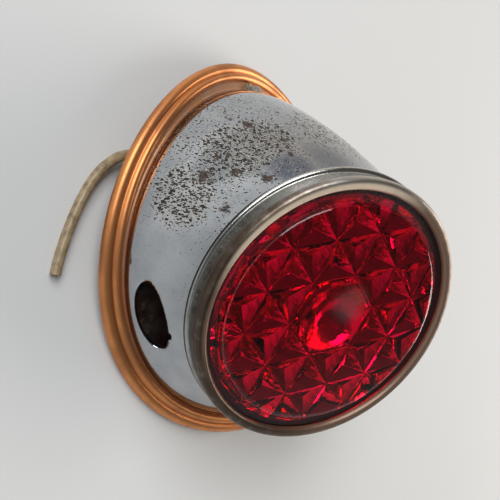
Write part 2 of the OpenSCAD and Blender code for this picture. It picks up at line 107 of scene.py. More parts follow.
class Finish:
    """A material of one finish, or the room: its nodes, with patterns in object coordinates."""

    def __init__(self, name, room=None):
        self.material = room or bpy.data.materials.new(name)
        self.material.use_nodes = True
        self.tree = self.material.node_tree
        self.shader = self.tree.nodes["Background" if room else "Principled BSDF"]
        self.place = self.node("ShaderNodeTexCoord", out="Generated" if room else "Object")

    def node(self, kind, inputs=None, out=0, **settings):
        made = self.tree.nodes.new(kind)
        for name, value in settings.items():
            setattr(made, name, value)
        for key, value in (inputs or {}).items():
            self.give(made.inputs[key], value)
        return Value(self, made.outputs[out])

    def give(self, socket, value):
        if isinstance(value, Value):
            self.tree.links.new(value.out, socket)
        else:
            socket.default_value = value

    def stretched(self, scale, turn=(0, 0, 0)):
        angles = [math.radians(a) for a in turn]
        return self.node("ShaderNodeMapping", {"Vector": self.place, "Rotation": angles, "Scale": scale})

    def noise(self, size, detail=3, rough=0.5, place=None, shift=0):
        terms = {"Vector": place or self.place, "W": shift, "Scale": 1 / size}
        terms.update({"Detail": detail, "Roughness": rough})
        return self.node("ShaderNodeTexNoise", terms, noise_dimensions="4D")

    def cells(self, size, place=None, out="Distance"):
        return self.node("ShaderNodeTexVoronoi", {"Vector": place or self.place, "Scale": 1 / size}, out)

    def near(self, point, reach, soft=1):
        """1 round a point of the object and 0 beyond its reach, with a soft edge."""
        return self.away(point).rise(reach * (1 - soft / 2), reach * (1 + soft / 2), 1, 0)

    def along(self, direction, origin=(0, 0, 0)):
        off = self.node("ShaderNodeVectorMath", {0: self.place, 1: origin}, operation="SUBTRACT")
        return self.node("ShaderNodeVectorMath", {0: off, 1: direction}, "Value", operation="DOT_PRODUCT")

    def away(self, origin, axes=(1, 1, 1)):
        """Distance from a point, or from the line through it that has none of these axes."""
        flat = self.node("ShaderNodeVectorMath", {0: self.place, 1: axes}, operation="MULTIPLY")
        return self.node("ShaderNodeVectorMath", {0: flat, 1: origin}, "Value", operation="DISTANCE")

    def mix(self, share, one, other):
        mixed = self.tree.nodes.new("ShaderNodeMix")
        mixed.data_type = "RGBA"
        self.give(mixed.inputs["Factor"], share)
        for socket, colour in ((mixed.inputs[6], one), (mixed.inputs[7], other)):
            self.give(socket, colour if isinstance(colour, Value) else (*colour, 1))
        return Value(self, mixed.outputs[2])

    def bump(self, height, depth):
        return self.node("ShaderNodeBump", {"Height": height, "Distance": depth, "Strength": 1.0})

    def surface(self, **inputs):
        for name, value in inputs.items():
            socket = self.shader.inputs[name.replace("_", " ")]
            plain_colour = isinstance(value, tuple) and len(value) == 3 and socket.type == "RGBA"
            self.give(socket, (*value, 1) if plain_colour else value)
        return self.material


def finish_node(material, *nodes):
    """Gives CAD nodes a finish in place of their plain material."""
    for node in nodes:
        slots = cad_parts[node].data.materials
        slots.clear()
        slots.append(material)


def bare_object(name, bm):
    """An object at the origin with the bmesh as its mesh."""
    mesh = bpy.data.meshes.new(name)
    bm.to_mesh(mesh)
    bm.free()
    thing = bpy.data.objects.new(name, mesh)
    bpy.context.scene.collection.objects.link(thing)
    return thing


def add_piece(name, bm, material, body, slot, *replaced):
    """Makes a piece of a bmesh, with its finish, body and the nodes it stands for."""
    piece = bare_object(name, bm)
    piece.data.materials.append(material)
    own_piece(piece, body, slot, *replaced)
    return piece


def own_piece(piece, body, slot, *replaced):
    """Names the body that a piece moves with and hides the nodes it stands for; slot is not used."""
    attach(piece, body)
    if replaced:
        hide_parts(*replaced)


wire_r = 1.5 * mm
core_r = 0.75 * mm
wire_route = [
    (4, -38, 10), (4, -38, 7), (4, -38, 6.8), (6, -42, 4.6), (11, -49, 4.2), (17.5, -55.8, 3.6),
    (24, -57.8, 3), (30, -57.6, 2.4), (36, -56.2, 2), (42, -54.1, 1.7), (48, -51.6, 1.6),
    (53, -49.2, 1.6), (56.4, -47.2, 1.6),
]
route = [Vector(p) * mm for p in wire_route]

curve = bpy.data.curves.new("wire_tail_sleeve", "CURVE")
curve.dimensions = "3D"
curve.bevel_depth = wire_r
curve.bevel_resolution = 6
curve.resolution_u = 8
curve.use_fill_caps = True
spline = curve.splines.new("BEZIER")
spline.bezier_points.add(len(route) - 1)
for knot, point in zip(spline.bezier_points, route):
    knot.co = point
    knot.handle_left_type = "AUTO"
    knot.handle_right_type = "AUTO"
wire = bpy.data.objects.new("wire_tail_sleeve", curve)
bpy.context.scene.collection.objects.link(wire)

sleeve = Finish("aged_tan_sleeve")
grime = sleeve.noise(2.2 * mm, 4, 0.6)
fine_grime = sleeve.noise(0.35 * mm, 3, 0.6, shift=4)
worn_share = (grime * 0.75 + fine_grime * 0.25).rise(0.3, 0.6)
sleeve.surface(
    Base_Color=sleeve.mix(worn_share, (0.13, 0.085, 0.04), (0.37, 0.27, 0.155)),
    Roughness=worn_share.rise(0, 1, 0.45, 0.28),
    Normal=sleeve.bump(fine_grime + grime, 0.05 * mm),
)
curve.materials.append(sleeve.material)
own_piece(wire, "base", "tan_sleeve", "wire_tail")
finish_node(sleeve.material, "wire_lead")

tip = route[-1]
heading = (tip - route[-2]).normalized()
core_out = 0.25 * mm
core = bmesh.new()
bmesh.ops.create_cone(
    core, cap_ends=True, segments=32, radius1=core_r, radius2=core_r * 0.8, depth=2 * core_out
)
core_rims = [e for e in core.edges if e.calc_length() < core_r / 2]
bmesh.ops.bevel(
    core, geom=core_rims, offset=0.12 * mm, segments=2, profile=0.5, affect="EDGES", material=-1
)
core.transform(Matrix.Translation(tip) @ heading.to_track_quat("Z", "Y").to_matrix().to_4x4())

bare = Finish("tarnished_copper_core")
bare_noise = bare.noise(0.3 * mm, 3)
bare.surface(
    Base_Color=bare.mix(bare_noise.rise(0.35, 0.7), (0.12, 0.05, 0.03), (0.6, 0.27, 0.13)),
    Metallic=1,
    Roughness=0.45,
    Normal=bare.bump(bare_noise, 0.08 * mm),
)
core_end = add_piece("wire_core_end", core, bare.material, "base", "bare_copper", "tail_core")
finish_node(bare.material, "lead_core")


# Base ring
# A steel pressing with copper plate, bent to a saddle so that it fits the mudguard: a thin outer
# bead, a crease, and a rounded inner band whose lip holds down the body's foot.
seat_r = 205 * mm
ring_r = 62 * mm
arch = seat_r - math.sqrt(seat_r**2 - ring_r**2)
ring_section = [
    (61.4, 0), (61.9, 0.6), (62, 1.4), (61.8, 2.1), (61.3, 2.65), (60.6, 2.95), (59.9, 2.95),
    (59.4, 2.7), (59.15, 2.55), (58.9, 2.8), (58.5, 3.3), (57.9, 3.6), (57.2, 3.5), (56.6, 3.05),
    (56.3, 2.55), (56.2, 2.12), (57, 2.12), (57.3, 2.65), (57.8, 2.85), (58.2, 2.5), (58.7, 1.9),
    (59.2, 1.75), (59.8, 2.1), (60.5, 2.2), (61, 1.8), (61.2, 1.2), (60.7, 0),
]
ring_steps = 384
section_steps = 120


def seat(x, height):
    """Height above the paper of a sheet that lies so far above the mudguard."""
    return arch - seat_r + math.sqrt((seat_r + height) ** 2 - x * x)


def rounded(points, share):
    """A point on the closed smooth curve through the section's points."""
    n = len(points)
    step, part = divmod(share * n, 1)
    a, b, c, d = (Vector(points[int(step + k) % n]) for k in (-1, 0, 1, 2))
    slope_b, slope_c = (c - a) / 2, (d - b) / 2
    t2, t3 = part**2, part**3
    return (
        (2 * t3 - 3 * t2 + 1) * b + (t3 - 2 * t2 + part) * slope_b
        + (3 * t2 - 2 * t3) * c + (t3 - t2) * slope_c
    )


def ring_place(turn, share):
    r, height = rounded(ring_section, share) * mm
    x = r * math.cos(turn)
    return Vector((x, r * math.sin(turn), seat(x, height)))


def wrapped(place, across, up, holes=()):
    """A grid bent round the part by place(turn, share), with each hole cut to its true outline."""
    bm = bmesh.new()
    bmesh.ops.create_grid(bm, x_segments=across, y_segments=up, size=0.5)
    spot = {v: ((v.co.x + 0.5) * math.tau, v.co.y + 0.5) for v in bm.verts}
    cell = (math.tau / across, 1 / up)
    for v in bm.verts:
        v.co = place(*spot[v])
    for outside in holes:
        gone = [f for f in bm.faces if outside(f.calc_center_median()) < 0]
        rim = {v for f in gone for v in f.verts}
        bmesh.ops.delete(bm, geom=gone, context="FACES")
        for v in rim:
            if v.is_valid:
                settle(v, spot[v], cell, place, outside)
    bmesh.ops.remove_doubles(bm, verts=bm.verts, dist=0.002 * mm)
    bmesh.ops.recalc_face_normals(bm, faces=bm.faces)
    for f in bm.faces:
        f.smooth = True
    return bm


def settle(v, spot, cell, place, outside):
    """Slides a vertex over its surface, at most one cell, to where outside() is nil."""
    turn, share = spot
    tries = 10
    nudge = 0.02
    longest_move = 0.5
    near_enough = 0.001 * mm
    too_flat = 1e-14
    for _ in range(tries):
        off = outside(place(turn, share))
        by_turn = (outside(place(turn + nudge * cell[0], share)) - off) / nudge
        by_share = (outside(place(turn, share + nudge * cell[1])) - off) / nudge
        steep = by_turn**2 + by_share**2
        if abs(off) < near_enough or steep < too_flat:
            break
        wanted = [-off * slope / steep for slope in (by_turn, by_share)]
        move = [max(-longest_move, min(longest_move, length)) for length in wanted]
        turn = max(spot[0] - cell[0], min(spot[0] + cell[0], turn + move[0] * cell[0]))
        share = max(spot[1] - cell[1], min(spot[1] + cell[1], share + move[1] * cell[1]))
    v.co = place(turn, share)


copper = Finish("copper_plate_on_steel")
brushed = copper.noise(0.5 * mm, 3, 0.6)
copper_stain = copper.noise(14 * mm, 3, 0.55, shift=3)
dust = copper.noise(1.6 * mm, 5, 0.65, shift=7)
dull_share = copper_stain.rise(0.4, 0.68) * 0.6 + dust.rise(0.55, 0.75) * 0.3
copper.surface(
    Base_Color=copper.mix(dull_share, (0.72, 0.28, 0.095), (0.34, 0.135, 0.055)),
    Metallic=0.85,
    Roughness=dull_share.rise(0, 0.9, 0.34, 0.5) + brushed * 0.06,
    Normal=copper.bump(brushed * 0.4 + dust * 0.6, 0.02 * mm),
)
ring = wrapped(ring_place, ring_steps, section_steps)
add_piece("base_ring_pressing", ring, copper.material, "base", "copper_plate", "base_ring")

# Base plate
# Plain steel sheet, rolled to the mudguard's curve, that closes the body from below. It is grey
# with old dirt and carries the bulb holder, the grommet and the holes of the fixing screws.
plate_steel = Finish("grimy_base_steel")
plate_dirt = plate_steel.noise(6 * mm, 5, 0.6)
plate_rust = plate_steel.noise(2.5 * mm, 5, 0.7, shift=5).rise(0.55, 0.7)
plate_grey = plate_steel.mix(plate_dirt.rise(0.3, 0.7), (0.07, 0.055, 0.045), (0.17, 0.15, 0.13))
plate_steel.surface(
    Base_Color=plate_steel.mix(plate_rust, plate_grey, (0.12, 0.05, 0.025)),
    Metallic=plate_rust.rise(0, 1, 0.9, 0.1),
    Roughness=plate_dirt.rise(0, 1, 0.4, 0.7),
    Normal=plate_steel.bump(plate_dirt + plate_rust, 0.1 * mm),
)
finish_node(plate_steel.material, "base_plate")

# Body
# One steel drawing, chromed outside: a turned-out foot under the ring, a wall that leans from the
# round foot to the tilted collar, and an open window that lit the number plate.
foot_r = 54.4 * mm
foot_shift = 1.6 * mm
foot_rim_r = 57.6 * mm
foot_top = 2.1 * mm
foot_round = 0.5 * mm
wall = 0.9 * mm
head_tilt = math.radians(32.5)
head_at = Vector((25, 0, 52.2)) * mm
head = Matrix.Translation(head_at) @ Matrix.Rotation(head_tilt, 4, "Y")
head_n = Vector((math.sin(head_tilt), 0, math.cos(head_tilt)))
collar_r = 38.8 * mm
collar_low = -9 * mm
collar_top = -3.9 * mm
lip_spread = 0.27
foot_rise = 0.2
lip_run = 0.28
flange_end = 0.05
wall_end = 0.95
wall_ease = 1.5
body_steps = 360
wall_steps = 100


def body_place(turn, share):
    out = Vector((math.cos(turn), math.sin(turn), 0))
    if share < flange_end:
        in_share = share / flange_end
        r = foot_rim_r + (foot_r + foot_round - foot_rim_r) * in_share
        x = r * out.x + foot_shift * in_share
        return Vector((x, r * out.y, seat(x, foot_top)))
    tilted_out = head.to_3x3() @ out
    if share > wall_end:
        rise = (share - wall_end) / (1 - wall_end)
        return head_at + tilted_out * collar_r + head_n * (collar_low + (collar_top - collar_low) * rise)
    t = ((share - flange_end) / (wall_end - flange_end)) ** wall_ease
    foot_x = foot_r * out.x + foot_shift
    foot = Vector((foot_x, foot_r * out.y, seat(foot_x, foot_top)))
    lip = head_at + tilted_out * collar_r + head_n * collar_low
    run = (lip - foot).length
    up = foot + Vector((0, 0, foot_rise * run))
    down = lip - lip_run * run * (head_n - lip_spread * tilted_out)
    point = (1 - t) ** 3 * foot + 3 * (1 - t) ** 2 * t * up + 3 * (1 - t) * t * t * down + t**3 * lip
    short = max(foot_round - (point.z - foot.z), 0)
    return point + out * (foot_round - math.sqrt(foot_round**2 - short**2))


window_turn = Matrix.Rotation(math.radians(-25), 3, "Z")
window_z = 13.7 * mm
window_w = 21 * mm
window_h = 9.2 * mm
window_lean = math.radians(-2.5)
notch_at = (6 * mm, 3.6 * mm)
notch_r = 1.2 * mm


def outside_window(point):
    x, y, z = window_turn.transposed() @ point
    z -= window_z
    across = y * math.cos(window_lean) + z * math.sin(window_lean)
    high = z * math.cos(window_lean) - y * math.sin(window_lean)
    if x < 0:
        return 1
    oval = (math.hypot(2 * across / window_w, 2 * high / window_h) - 1) * window_h / 2
    return min(oval, math.hypot(across - notch_at[0], high - notch_at[1]) - notch_r)


screw_orbit = 50.4 * mm
screw_spread = math.radians(49)
pocket_r = 5.8 * mm
pocket_low = 2.2 * mm
pocket_top = 8.7 * mm


def screw_frame(side):
    x = -screw_orbit * math.cos(screw_spread)
    lean = math.asin(x / seat_r)
    return (
        Matrix.Translation((0, side * screw_orbit * math.sin(screw_spread), arch - seat_r))
        @ Matrix.Rotation(lean, 4, "Y")
        @ Matrix.Translation((0, 0, seat_r))
    )


def outside_pocket(side):
    into = screw_frame(side).inverted()

    def away(point):
        x, y, z = into @ point
        return max(math.hypot(x, y) - pocket_r, z - pocket_top, pocket_low - z)

    return away


chrome = Finish("pitted_chrome")
soft_haze = chrome.noise(9 * mm, 4, 0.6)
fine_haze = chrome.noise(0.5 * mm, 4, 0.6, shift=2)
drawn = chrome.stretched((1, 1, 0.42), (8, 14, 0))


def areas(*spots):
    """Soft round areas of the chrome: point and reach in millimetres, softness and strength."""
    covered = 0
    for point, reach, soft, strength in spots:
        covered = (chrome.near(Vector(point) * mm, reach * mm, soft) * strength).at_least(covered)
    return covered


pit_field = areas(
    ((6, -45, 31.5), 11, 1.2, 1),
    ((22.5, -45, 23.5), 9, 1.3, 1),
    ((-3, -43, 36), 10, 1.3, 0.85),
    ((3, -45, 28), 32, 1.1, 0.4),
    ((-20, -29, 41), 15, 1.2, 0.62),
    ((-30, 10, 40), 34, 0.8, 0.5),
)
clumps = chrome.noise(5 * mm, 3, 0.6, shift=9) * 0.5 + chrome.noise(1.6 * mm, 3, 0.7, shift=19) * 0.7
pit_crowd = pit_field * 0.75 + clumps - 0.45


def pit_depth(size, shift, most):
    """Pits in about half of the cells, larger where they crowd, stretched along the drawing."""
    place = chrome.node("ShaderNodeVectorMath", {0: drawn, 1: (shift, shift, 0)}, operation="ADD")
    ragged = chrome.cells(size, place) + (chrome.noise(size * 0.4, 3, place=place) - 0.5) * 0.3
    size_share = chrome.cells(size, place, "Color").rise(0.3, 0.85)
    return size_share * pit_crowd.rise(0.1, 0.75, 0.0, most) - ragged


depth = (
    pit_depth(0.8 * mm, 0, 0.53)
    .at_least(pit_depth(0.5 * mm, 3 * mm, 0.59))
    .at_least(pit_depth(0.36 * mm, 7 * mm, 0.56))
)
pits = depth.rise(-0.05, 0.01)
# Painted highlight: a light rim round each pit where pits crowd, standing in for the light that pit edges
# catch.
pit_rim_highlight = depth.rise(-0.2, -0.06) * (1 - pits) * pit_crowd.rise(0.3, 0.6)

patch_spots = [
    ((-4.5, -48.5, 24.6), 1.1), ((10.1, -46.5, 28.1), 1.3), ((16.5, -45.4, 27.2), 2.2),
    ((8.6, -45.6, 30.8), 1.2), ((12, -40.2, 43.1), 1.8), ((23.7, -40.1, 36), 1.6),
    ((-4.2, -40.4, 39.5), 1.1), ((0.6, -38.9, 44.2), 1.2), ((13.1, -43.3, 34.7), 1.5),
    ((-5.2, -45.7, 29.7), 1.9), ((-8.9, -50.4, 18.8), 1.0),
]
patches = areas(*[(point, reach, 1.8, 1) for point, reach in patch_spots])
patch_edge = chrome.noise(0.7 * mm, 5, 0.8, place=drawn, shift=12)
rust = (patches * 0.8 + (patch_edge - 0.5) * 3 - 0.45).rise(0.0, 0.2) * patches.rise(0.02, 0.3)
smear = areas(((5.5, -38.3, 46.9), 6, 1.1, 1), ((-5, -33, 52), 6.5, 1.2, 0.7)) * fine_haze.rise(0.3, 0.5)
stain = areas(((-18, -27, 45), 17, 1.3, 1)) * soft_haze.rise(0.3, 0.6, 0.3, 0.65)
olive = (pit_crowd.rise(0.3, 0.8) * fine_haze.rise(0.35, 0.65)) * 0.6
brown = chrome.noise(3 * mm, 2, shift=15).rise(0.42, 0.62)

clean = chrome.mix(soft_haze.rise(0.3, 0.7), (0.37, 0.39, 0.415), (0.46, 0.475, 0.5))
smeared = chrome.mix(smear * 0.85, clean, (0.09, 0.11, 0.16))
stained = chrome.mix(stain, smeared, (0.25, 0.235, 0.21))
# The pits' rims are lightened here with painted highlight.
rim_highlighted = chrome.mix(pit_rim_highlight * 0.75, stained, (0.76, 0.76, 0.75))
dirtied = chrome.mix(olive, rim_highlighted, (0.44, 0.4, 0.33))
pit_black = chrome.mix(brown, (0.01, 0.009, 0.008), (0.03, 0.02, 0.013))
pitted = chrome.mix(pits, dirtied, pit_black)
patch_rust = chrome.mix(patch_edge.rise(0.46, 0.6), (0.01, 0.008, 0.006), (0.085, 0.045, 0.025))
rusty = chrome.mix(rust, pitted, patch_rust)

# Painted reflection of the copper ring: the foot flange is tinted copper-brown and made less metallic, and
# the tint fades up the foot's first millimetres as grime together with that painted reflection.
over_seat = chrome.away((0, 0, arch - seat_r), (1, 0, 1)) - seat_r
flange = over_seat.rise(foot_top + 0.5 * mm, foot_top + 0.9 * mm, 1, 0)
foot_grime_and_reflection = over_seat.rise(foot_top + 0.4 * mm, foot_top + 3.5 * mm, 1, 0) * soft_haze.rise(0.35, 0.6)
tan_share = chrome.noise(6 * mm, 3, 0.5, shift=21).rise(0.3, 0.6, 0.75, 1)
flange_reflection_and_grime = (flange * tan_share).at_least(foot_grime_and_reflection * 0.55)
blemish = pits.at_least(rust) * (1 - flange)
haze = soft_haze * 0.03 + fine_haze * 0.05
chrome.surface(
    Base_Color=chrome.mix(flange_reflection_and_grime, rusty, (0.5, 0.23, 0.1)),
    Metallic=blemish.rise(0, 1, 1, 0.1) * (1 - flange * 0.65),
    Roughness=blemish.rise(0, 1, 0.02, 0.5) + haze + flange_reflection_and_grime * 0.22 + smear * 0.2,
    Normal=chrome.bump(1 - blemish * 0.8 + fine_haze * 0.02, 0.12 * mm),
)

bare_inside = Finish("rusted_body_inside")
inside_rust = bare_inside.noise(4 * mm, 5, 0.65)
bare_inside.surface(
    Base_Color=bare_inside.mix(inside_rust.rise(0.35, 0.65), (0.06, 0.03, 0.02), (0.17, 0.07, 0.04)),
    Metallic=0.3,
    Roughness=0.6,
    Normal=bare_inside.bump(inside_rust, 0.15 * mm),
)


def modify(piece, kind, **settings):
    """Puts a modifier on a piece and applies it."""
    modifier = piece.modifiers.new(kind.lower(), kind)
    for name, value in settings.items():
        setattr(modifier, name, value)
    with bpy.context.temp_override(object=piece, active_object=piece, selected_objects=[piece]):
        bpy.ops.object.modifier_apply(modifier=modifier.name)


body_holes = [outside_window, outside_pocket(-1), outside_pocket(1)]
shell = wrapped(body_place, body_steps, wall_steps, body_holes)
body = add_piece("body_drawing", shell, chrome.material, "base", "body_chrome", "body_shell")
body.data.materials.append(bare_inside.material)
modify(body, "SOLIDIFY", thickness=wall, offset=-1, use_even_offset=True, material_offset=1)

# Fixing screws
# Two slotted steel pan heads on brass washers hold the foot to the mudguard, in cut-outs at the
# long side.


def aged_metal(name, spot_size, dirty, clean, metallic, dull, shiny, relief):
    """A metal with its colour and roughness in the dirty spots and in the clean ones."""
    metal = Finish(name)
    dirt = metal.noise(spot_size, 4, 0.6)
    return metal.surface(
        Base_Color=metal.mix(dirt.rise(0.35, 0.7), dirty, clean),
        Metallic=metallic,
        Roughness=dirt.rise(0.3, 0.8, dull, shiny),
        Normal=metal.bump(dirt, relief),
    )


screw_steel = aged_metal(
    "dull_screw_steel", 1.2 * mm, dirty=(0.2, 0.17, 0.14), clean=(0.6, 0.52, 0.47),
    metallic=0.6, dull=0.5, shiny=0.3, relief=0.06 * mm,
)
washer_brass = aged_metal(
    "tarnished_washer_brass", 1.5 * mm, dirty=(0.16, 0.14, 0.09), clean=(0.5, 0.44, 0.3),
    metallic=0.6, dull=0.55, shiny=0.35, relief=0.06 * mm,
)
finish_node(screw_steel, "fixing_screws")
finish_node(washer_brass, "fixing_washers")

# Bulb holder
# A steel cup riveted to the plate carries a brass shell with two bayonet slots. Under the bulb a
# spring pushes a fibre carrier with a brass stud, and the feed wire is soldered to the tag below.
finish_node(plate_steel.material, "holder_cup")
finish_node(screw_steel, "holder_rivets")

holder_brass = aged_metal(
    "dull_holder_brass", 3 * mm, dirty=(0.3, 0.22, 0.1), clean=(0.66, 0.5, 0.24),
    metallic=1, dull=0.5, shiny=0.28, relief=0.05 * mm,
)
finish_node(holder_brass, "holder_shell", "terminal_tag", "contact_stud")

fibre = Finish("brown_fibre_board")
fibre_grain = fibre.noise(0.6 * mm, 4, 0.6)
fibre.surface(
    Base_Color=fibre.mix(fibre_grain, (0.16, 0.06, 0.03), (0.34, 0.15, 0.08)),
    Roughness=0.7,
    Normal=fibre.bump(fibre_grain, 0.05 * mm),
)
finish_node(fibre.material, "insulating_washer", "contact_carrier")

rubber = Finish("black_rubber")
rubber_grain = rubber.noise(0.8 * mm, 4, 0.6)
rubber.surface(
    Base_Color=rubber.mix(rubber_grain, (0.012, 0.012, 0.012), (0.04, 0.038, 0.035)),
    Roughness=0.75,
    Normal=rubber.bump(rubber_grain, 0.05 * mm),
)
finish_node(rubber.material, "wire_grommet")

spring_steel = Finish("spring_steel")
spring_dirt = spring_steel.noise(1 * mm, 3)
spring_steel.surface(
    Base_Color=spring_steel.mix(spring_dirt, (0.3, 0.29, 0.28), (0.6, 0.6, 0.6)), Metallic=1, Roughness=0.35
)
finish_node(spring_steel.material, "contact_spring")

solder = Finish("grey_solder")
solder_skin = solder.noise(0.7 * mm, 3)
solder.surface(
    Base_Color=solder.mix(solder_skin, (0.4, 0.4, 0.4), (0.65, 0.65, 0.63)), Metallic=1, Roughness=0.4
)
finish_node(solder.material, "solder_joint")

# Bulb
# A small bayonet bulb in a brass cap. A bead of black glass insulates the soldered contact under the
# cap, and a clear stem holds the filament in the clear globe.
finish_node(holder_brass, "bulb_cap")
finish_node(solder.material, "bulb_contact")
finish_node(spring_steel.material, "bulb_filament")

black_glass = Finish("black_bulb_glass")
black_skin = black_glass.noise(2 * mm, 3)
black_glass.surface(
    Base_Color=black_glass.mix(black_skin, (0.01, 0.01, 0.015), (0.03, 0.03, 0.04)), Roughness=0.15
)
finish_node(black_glass.material, "bulb_insulator")

clear_glass = Finish("clear_bulb_glass")
glass_dust = clear_glass.noise(4 * mm, 4)
clear_glass.surface(
    Base_Color=clear_glass.mix(glass_dust, (0.93, 0.95, 0.95), (0.99, 0.99, 0.99)),
    Roughness=glass_dust.rise(0.4, 0.8, 0.02, 0.12),
    Transmission_Weight=1.0,
    IOR=1.5,
)
finish_node(clear_glass.material, "bulb_glass", "bulb_stem")

# Bezel
# A rolled steel ring, chromed, dirty in its hollow and worn to a tan on its front, pushed over the
# collar. Its outside runs from a rear bead through a shallow hollow to the rounded front that holds
# the lens. Painted shade darkens its low, under and far sides and its rear edge, painted light
# brightens its top, and a painted highlight lies on the near side of its front lip.
bezel_section = [
    (39.1, -8.45), (40.1, -8.55), (40.95, -8.15), (41.25, -7.4), (40.9, -6.8), (40.2, -6.45),
    (39.95, -5.6), (39.9, -4.2), (40.1, -2.9), (40.5, -2.2), (40.75, -1.2), (40.6, -0.2), (40.1, 0.5),
    (39.3, 0.85), (38.2, 0.85), (37.75, 0.5), (37.4, -0.1), (37.35, -0.68), (37.8, -0.68),
    (37.95, -0.1), (38.4, 0.12), (39.1, 0.1), (39.7, -0.3), (39.9, -1.2), (39.6, -2.2), (39.25, -3),
    (39.15, -5.5),
]
bezel_steps = 256
bezel_fine = 4


def spun(points, steps, closed):
    """A section turned round the lens head's axis."""
    bm = bmesh.new()
    line = [bm.verts.new((r, 0, z)) for r, z in points]
    pairs = list(zip(line, line[1:])) + ([(line[-1], line[0])] if closed else [])
    edges = [bm.edges.new(pair) for pair in pairs]
    bmesh.ops.spin(
        bm, geom=line + edges, cent=(0, 0, 0), axis=(0, 0, 1), dvec=(0, 0, 0), angle=math.tau, steps=steps,
        use_merge=True, use_duplicate=False,
    )
    bmesh.ops.remove_doubles(bm, verts=bm.verts, dist=0.001 * mm)
    bmesh.ops.recalc_face_normals(bm, faces=bm.faces)
    for f in bm.faces:
        f.smooth = True
    return bm


bezel_count = len(bezel_section) * bezel_fine
bezel_line = [rounded(bezel_section, i / bezel_count) * mm for i in range(bezel_count)]
bezel = spun(bezel_line, bezel_steps, closed=True)
bezel.transform(head)

worn_chrome = Finish("worn_bezel_chrome")


def side(direction, low, high):
    """0 to 1 across the bezel in a level direction, from low to high millimetres past its middle."""
    return worn_chrome.along(direction, head_at).rise(low * mm, high * mm)


# These sides place painted light on the bezel: painted shade toward the low, under and far sides, painted
# light at the top and a painted highlight on the near side.
low_shade_side = side((0.72, -0.69, 0), 5, 36)
under_shade_side = side((0.98, 0.2, 0), 21, 34)
far_shade_side = side((-0.5, 0.85, 0), 4, 34)
top_light_side = side((-0.77, -0.64, 0), 23, 38)
near_highlight_side = side((-0.37, -0.93, 0), 20, 34)

height = worn_chrome.along(head_n, head_at)
# Painted shadow: a near-black line along the rear edge, reaching further onto the rear bead toward +X.
rear_shadow_reach = worn_chrome.along((1, 0, 0)).rise(0, 30 * mm, -0.5 * mm, 0.8 * mm)
rear_edge_shadow = (height - rear_shadow_reach).rise(-8.0 * mm, -7.5 * mm, 1, 0)
hollow = height.rise(-7.0 * mm, -5.4 * mm) * height.rise(-2.4 * mm, -0.9 * mm, 1, 0)
front_face = height.rise(-2.1 * mm, -0.8 * mm)
# On the near side the flank reaches further out, widening the painted highlight on the lip.
flank = (worn_chrome.away(head_at) - near_highlight_side * 0.35 * mm).rise(38.6 * mm, 39.7 * mm, 1, 0) * front_face

tarnish = worn_chrome.noise(8 * mm, 4, 0.6, shift=1)
spot_hue = worn_chrome.noise(3 * mm, 4, 0.65, shift=4)
speck = worn_chrome.noise(0.7 * mm, 5, 0.7, shift=6)
scratch = worn_chrome.noise(1.6 * mm, 5, 0.75, place=worn_chrome.stretched((1, 1, 0.35)), shift=11)

# The hollow's dirt is real grime, made heavier toward the low side as painted shade and lighter at the top
# as painted light; the dark mottle is weighted the same way.
dirt = (hollow * (low_shade_side * 0.8 + 0.7) + tarnish * 0.5 + speck * 0.4 - 0.5).rise(0.0, 0.45)
dirt = dirt * (1 - top_light_side * 0.55)
flake = (scratch * 0.5 + speck * 0.3 + tarnish * 0.3).rise(0.53, 0.62) * hollow
mottle_and_shade = scratch.rise(0.5, 0.57) * hollow * (low_shade_side * 0.7 + 0.3) * (1 - top_light_side)
# The front's tan-brown wear is deepened on the far side as painted shade and thinned at the top as painted
# light.
front_brown_and_shade = front_face * (spot_hue.rise(0.3, 0.62, 0.5, 1) + far_shade_side * 0.5)
brown_wear_and_shade = (front_brown_and_shade + tarnish.rise(0.45, 0.65) * 0.4).at_most(1) * (1 - top_light_side * 0.6)
shady_sides = (low_shade_side + under_shade_side + far_shade_side * spot_hue.rise(0.35, 0.55)).at_most(1)
shade = shady_sides * front_face * spot_hue.rise(0.3, 0.6, 0.6, 0.95)
# Painted highlight: on the near side the front lip turns a light cream and less metallic, over its brown
# wear elsewhere.
lip_wear_and_highlight = flank * spot_hue.rise(0.22, 0.45, 0.45, 1).at_least(near_highlight_side * 0.75) * (1 - under_shade_side * 0.7)

# Painted light: the plating is lighter grey toward the top.
plating_lit_at_top = worn_chrome.mix(top_light_side, (0.44, 0.44, 0.42), (0.66, 0.64, 0.6))
bright = worn_chrome.mix(brown_wear_and_shade, plating_lit_at_top, (0.22, 0.14, 0.09))
grimy = worn_chrome.mix(dirt * 0.92, bright, (0.05, 0.045, 0.034))
flaked = worn_chrome.mix(flake * 0.6, grimy, (0.26, 0.27, 0.25))
mottled = worn_chrome.mix(mottle_and_shade * 0.85, flaked, (0.012, 0.011, 0.01))
shaded = worn_chrome.mix(shade, mottled, (0.07, 0.052, 0.04))
lip_tan_and_highlight = worn_chrome.mix(near_highlight_side, (0.22, 0.135, 0.09), (1.0, 0.8, 0.6))
edged = worn_chrome.mix(lip_wear_and_highlight, shaded, lip_tan_and_highlight)
worn_chrome.surface(
    Base_Color=worn_chrome.mix(rear_edge_shadow, edged, (0.02, 0.018, 0.015)),
    Metallic=dirt.rise(0, 1, 1, 0.5) * (1 - lip_wear_and_highlight * 0.6),
    Roughness=(dirt * 0.2 + front_face * 0.16 + speck * 0.16 + 0.08).at_most(0.5),
    Normal=worn_chrome.bump(speck * 0.6 - dirt * 0.3 + flake * 0.3 + spot_hue * 0.5, 0.1 * mm),
)
add_piece("bezel_rolling", bezel, worn_chrome.material, "bezel", "bezel_chrome", "bezel_ring")

